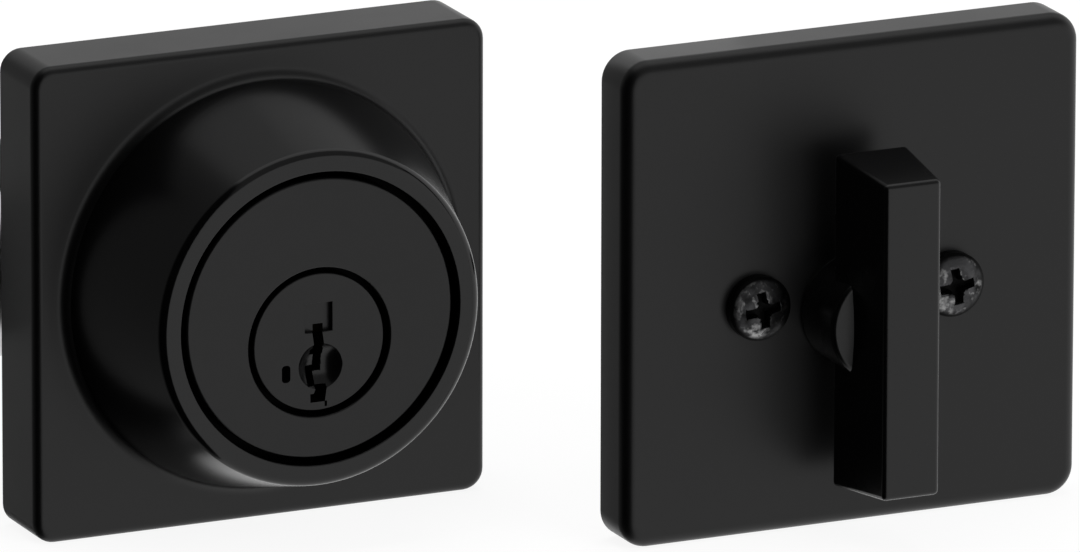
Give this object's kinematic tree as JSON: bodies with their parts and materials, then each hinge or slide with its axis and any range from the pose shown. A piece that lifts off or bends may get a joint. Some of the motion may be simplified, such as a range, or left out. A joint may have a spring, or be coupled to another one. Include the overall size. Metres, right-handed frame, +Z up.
{
  "type": "deadbolt door lock",
  "caption": "Single-cylinder deadbolt with square matte black trim: exterior half with tapered round boss and key plug, interior half with bar turn-piece, and tubular latch with sliding bolt.",
  "frame": {"origin": "where the key axis crosses the plane in which the exterior half meets the door", "axes": "+Z up, +Y into the door (the fronts of both halves face -Y), the bolt moves out towards -X"},
  "size_m": [0.1663, 0.1147, 0.0682],
  "materials": {
    "black_coat": "matte black coat on die-cast zinc",
    "black_cylinder": "matte black coat on the cylinder and its plug",
    "black_screw": "black oxide, rubbed bright on the high spots",
    "zinc_plated_steel": "zinc-plated pressed steel",
    "bright_steel": "plain turned or ground steel",
    "spring_steel": "hardened spring steel",
    "cast_zinc": "bare die-cast zinc",
    "brass": "turned or pressed brass",
    "nylon": "natural nylon"
  },
  "bodies": {
    "lock_set": {"exterior_housing": "black_coat", "cylinder_body": "black_cylinder", "cylinder_snap_ring": "spring_steel", "interior_plate": "black_coat", "spindle_bushing": "nylon", "mounting_screws": "black_screw", "latch_faceplate": "black_coat", "latch_backplate": "zinc_plated_steel", "latch_tube": "zinc_plated_steel", "case_plate_outer": "zinc_plated_steel", "case_plate_inner": "zinc_plated_steel", "case_rivets": "bright_steel", "detent_spring": "spring_steel"},
    "plug": {"key_plug": "black_cylinder", "plug_clip": "spring_steel", "spring_cover": "brass", "side_bar": "brass", "side_bar_springs": "spring_steel", "torque_blade": "zinc_plated_steel", "blade_retainer": "spring_steel", "pin_spring_1": "spring_steel", "pin_spring_2": "spring_steel", "pin_spring_3": "spring_steel", "pin_spring_4": "spring_steel", "pin_spring_5": "spring_steel"},
    "crank": {"crank_hub": "cast_zinc"},
    "bolt": {"dead_bolt": "bright_steel", "bolt_tail": "zinc_plated_steel", "bolt_roller": "bright_steel", "tail_rivet": "bright_steel"},
    "turn": {"turn_piece": "black_coat", "retaining_ring": "spring_steel", "spring_washer": "spring_steel"},
    "pin_1": {"key_pin_1": "brass"},
    "pin_2": {"key_pin_2": "brass"},
    "pin_3": {"key_pin_3": "brass"},
    "pin_4": {"key_pin_4": "brass"},
    "pin_5": {"key_pin_5": "brass"}
  },
  "joints": [
    {"name": "plug_turn", "type": "hinge", "parent": "lock_set", "child": "plug", "pos_m": [0, -0.02, 0], "axis": [0, -1, 0], "range_deg": [0, 90]},
    {"name": "crank_turn", "type": "hinge", "parent": "lock_set", "child": "crank", "pos_m": [0, 0.0222, 0], "axis": [0, -1, 0], "range_deg": [0, 90]},
    {"name": "bolt_slide", "type": "slide", "parent": "lock_set", "child": "bolt", "axis": [-1, 0, 0], "range_m": [0, 0.0254]},
    {"name": "turn_piece_turn", "type": "hinge", "parent": "lock_set", "child": "turn", "pos_m": [0.072, -0.039, 0.0007], "axis": [0, 1, 0], "range_deg": [0, 90]},
    {"name": "key_pin_1_lift", "type": "slide", "parent": "plug", "child": "pin_1", "axis": [0, 0, 1], "range_m": [0, 0.0022], "stiffness_N_per_m": 30, "springref_m": -0.002, "deforming": ["pin_spring_1"]},
    {"name": "key_pin_2_lift", "type": "slide", "parent": "plug", "child": "pin_2", "axis": [0, 0, 1], "range_m": [0, 0.0022], "stiffness_N_per_m": 30, "springref_m": -0.002, "deforming": ["pin_spring_2"]},
    {"name": "key_pin_3_lift", "type": "slide", "parent": "plug", "child": "pin_3", "axis": [0, 0, 1], "range_m": [0, 0.0022], "stiffness_N_per_m": 30, "springref_m": -0.002, "deforming": ["pin_spring_3"]},
    {"name": "key_pin_4_lift", "type": "slide", "parent": "plug", "child": "pin_4", "axis": [0, 0, 1], "range_m": [0, 0.0022], "stiffness_N_per_m": 30, "springref_m": -0.002, "deforming": ["pin_spring_4"]},
    {"name": "key_pin_5_lift", "type": "slide", "parent": "plug", "child": "pin_5", "axis": [0, 0, 1], "range_m": [0, 0.0022], "stiffness_N_per_m": 30, "springref_m": -0.002, "deforming": ["pin_spring_5"]}
  ],
  "couplings": [
    {"joint": "plug_turn", "follows": "bolt_slide", "rad_per_m": 61.84},
    {"joint": "crank_turn", "follows": "bolt_slide", "rad_per_m": 61.84}
  ]
}
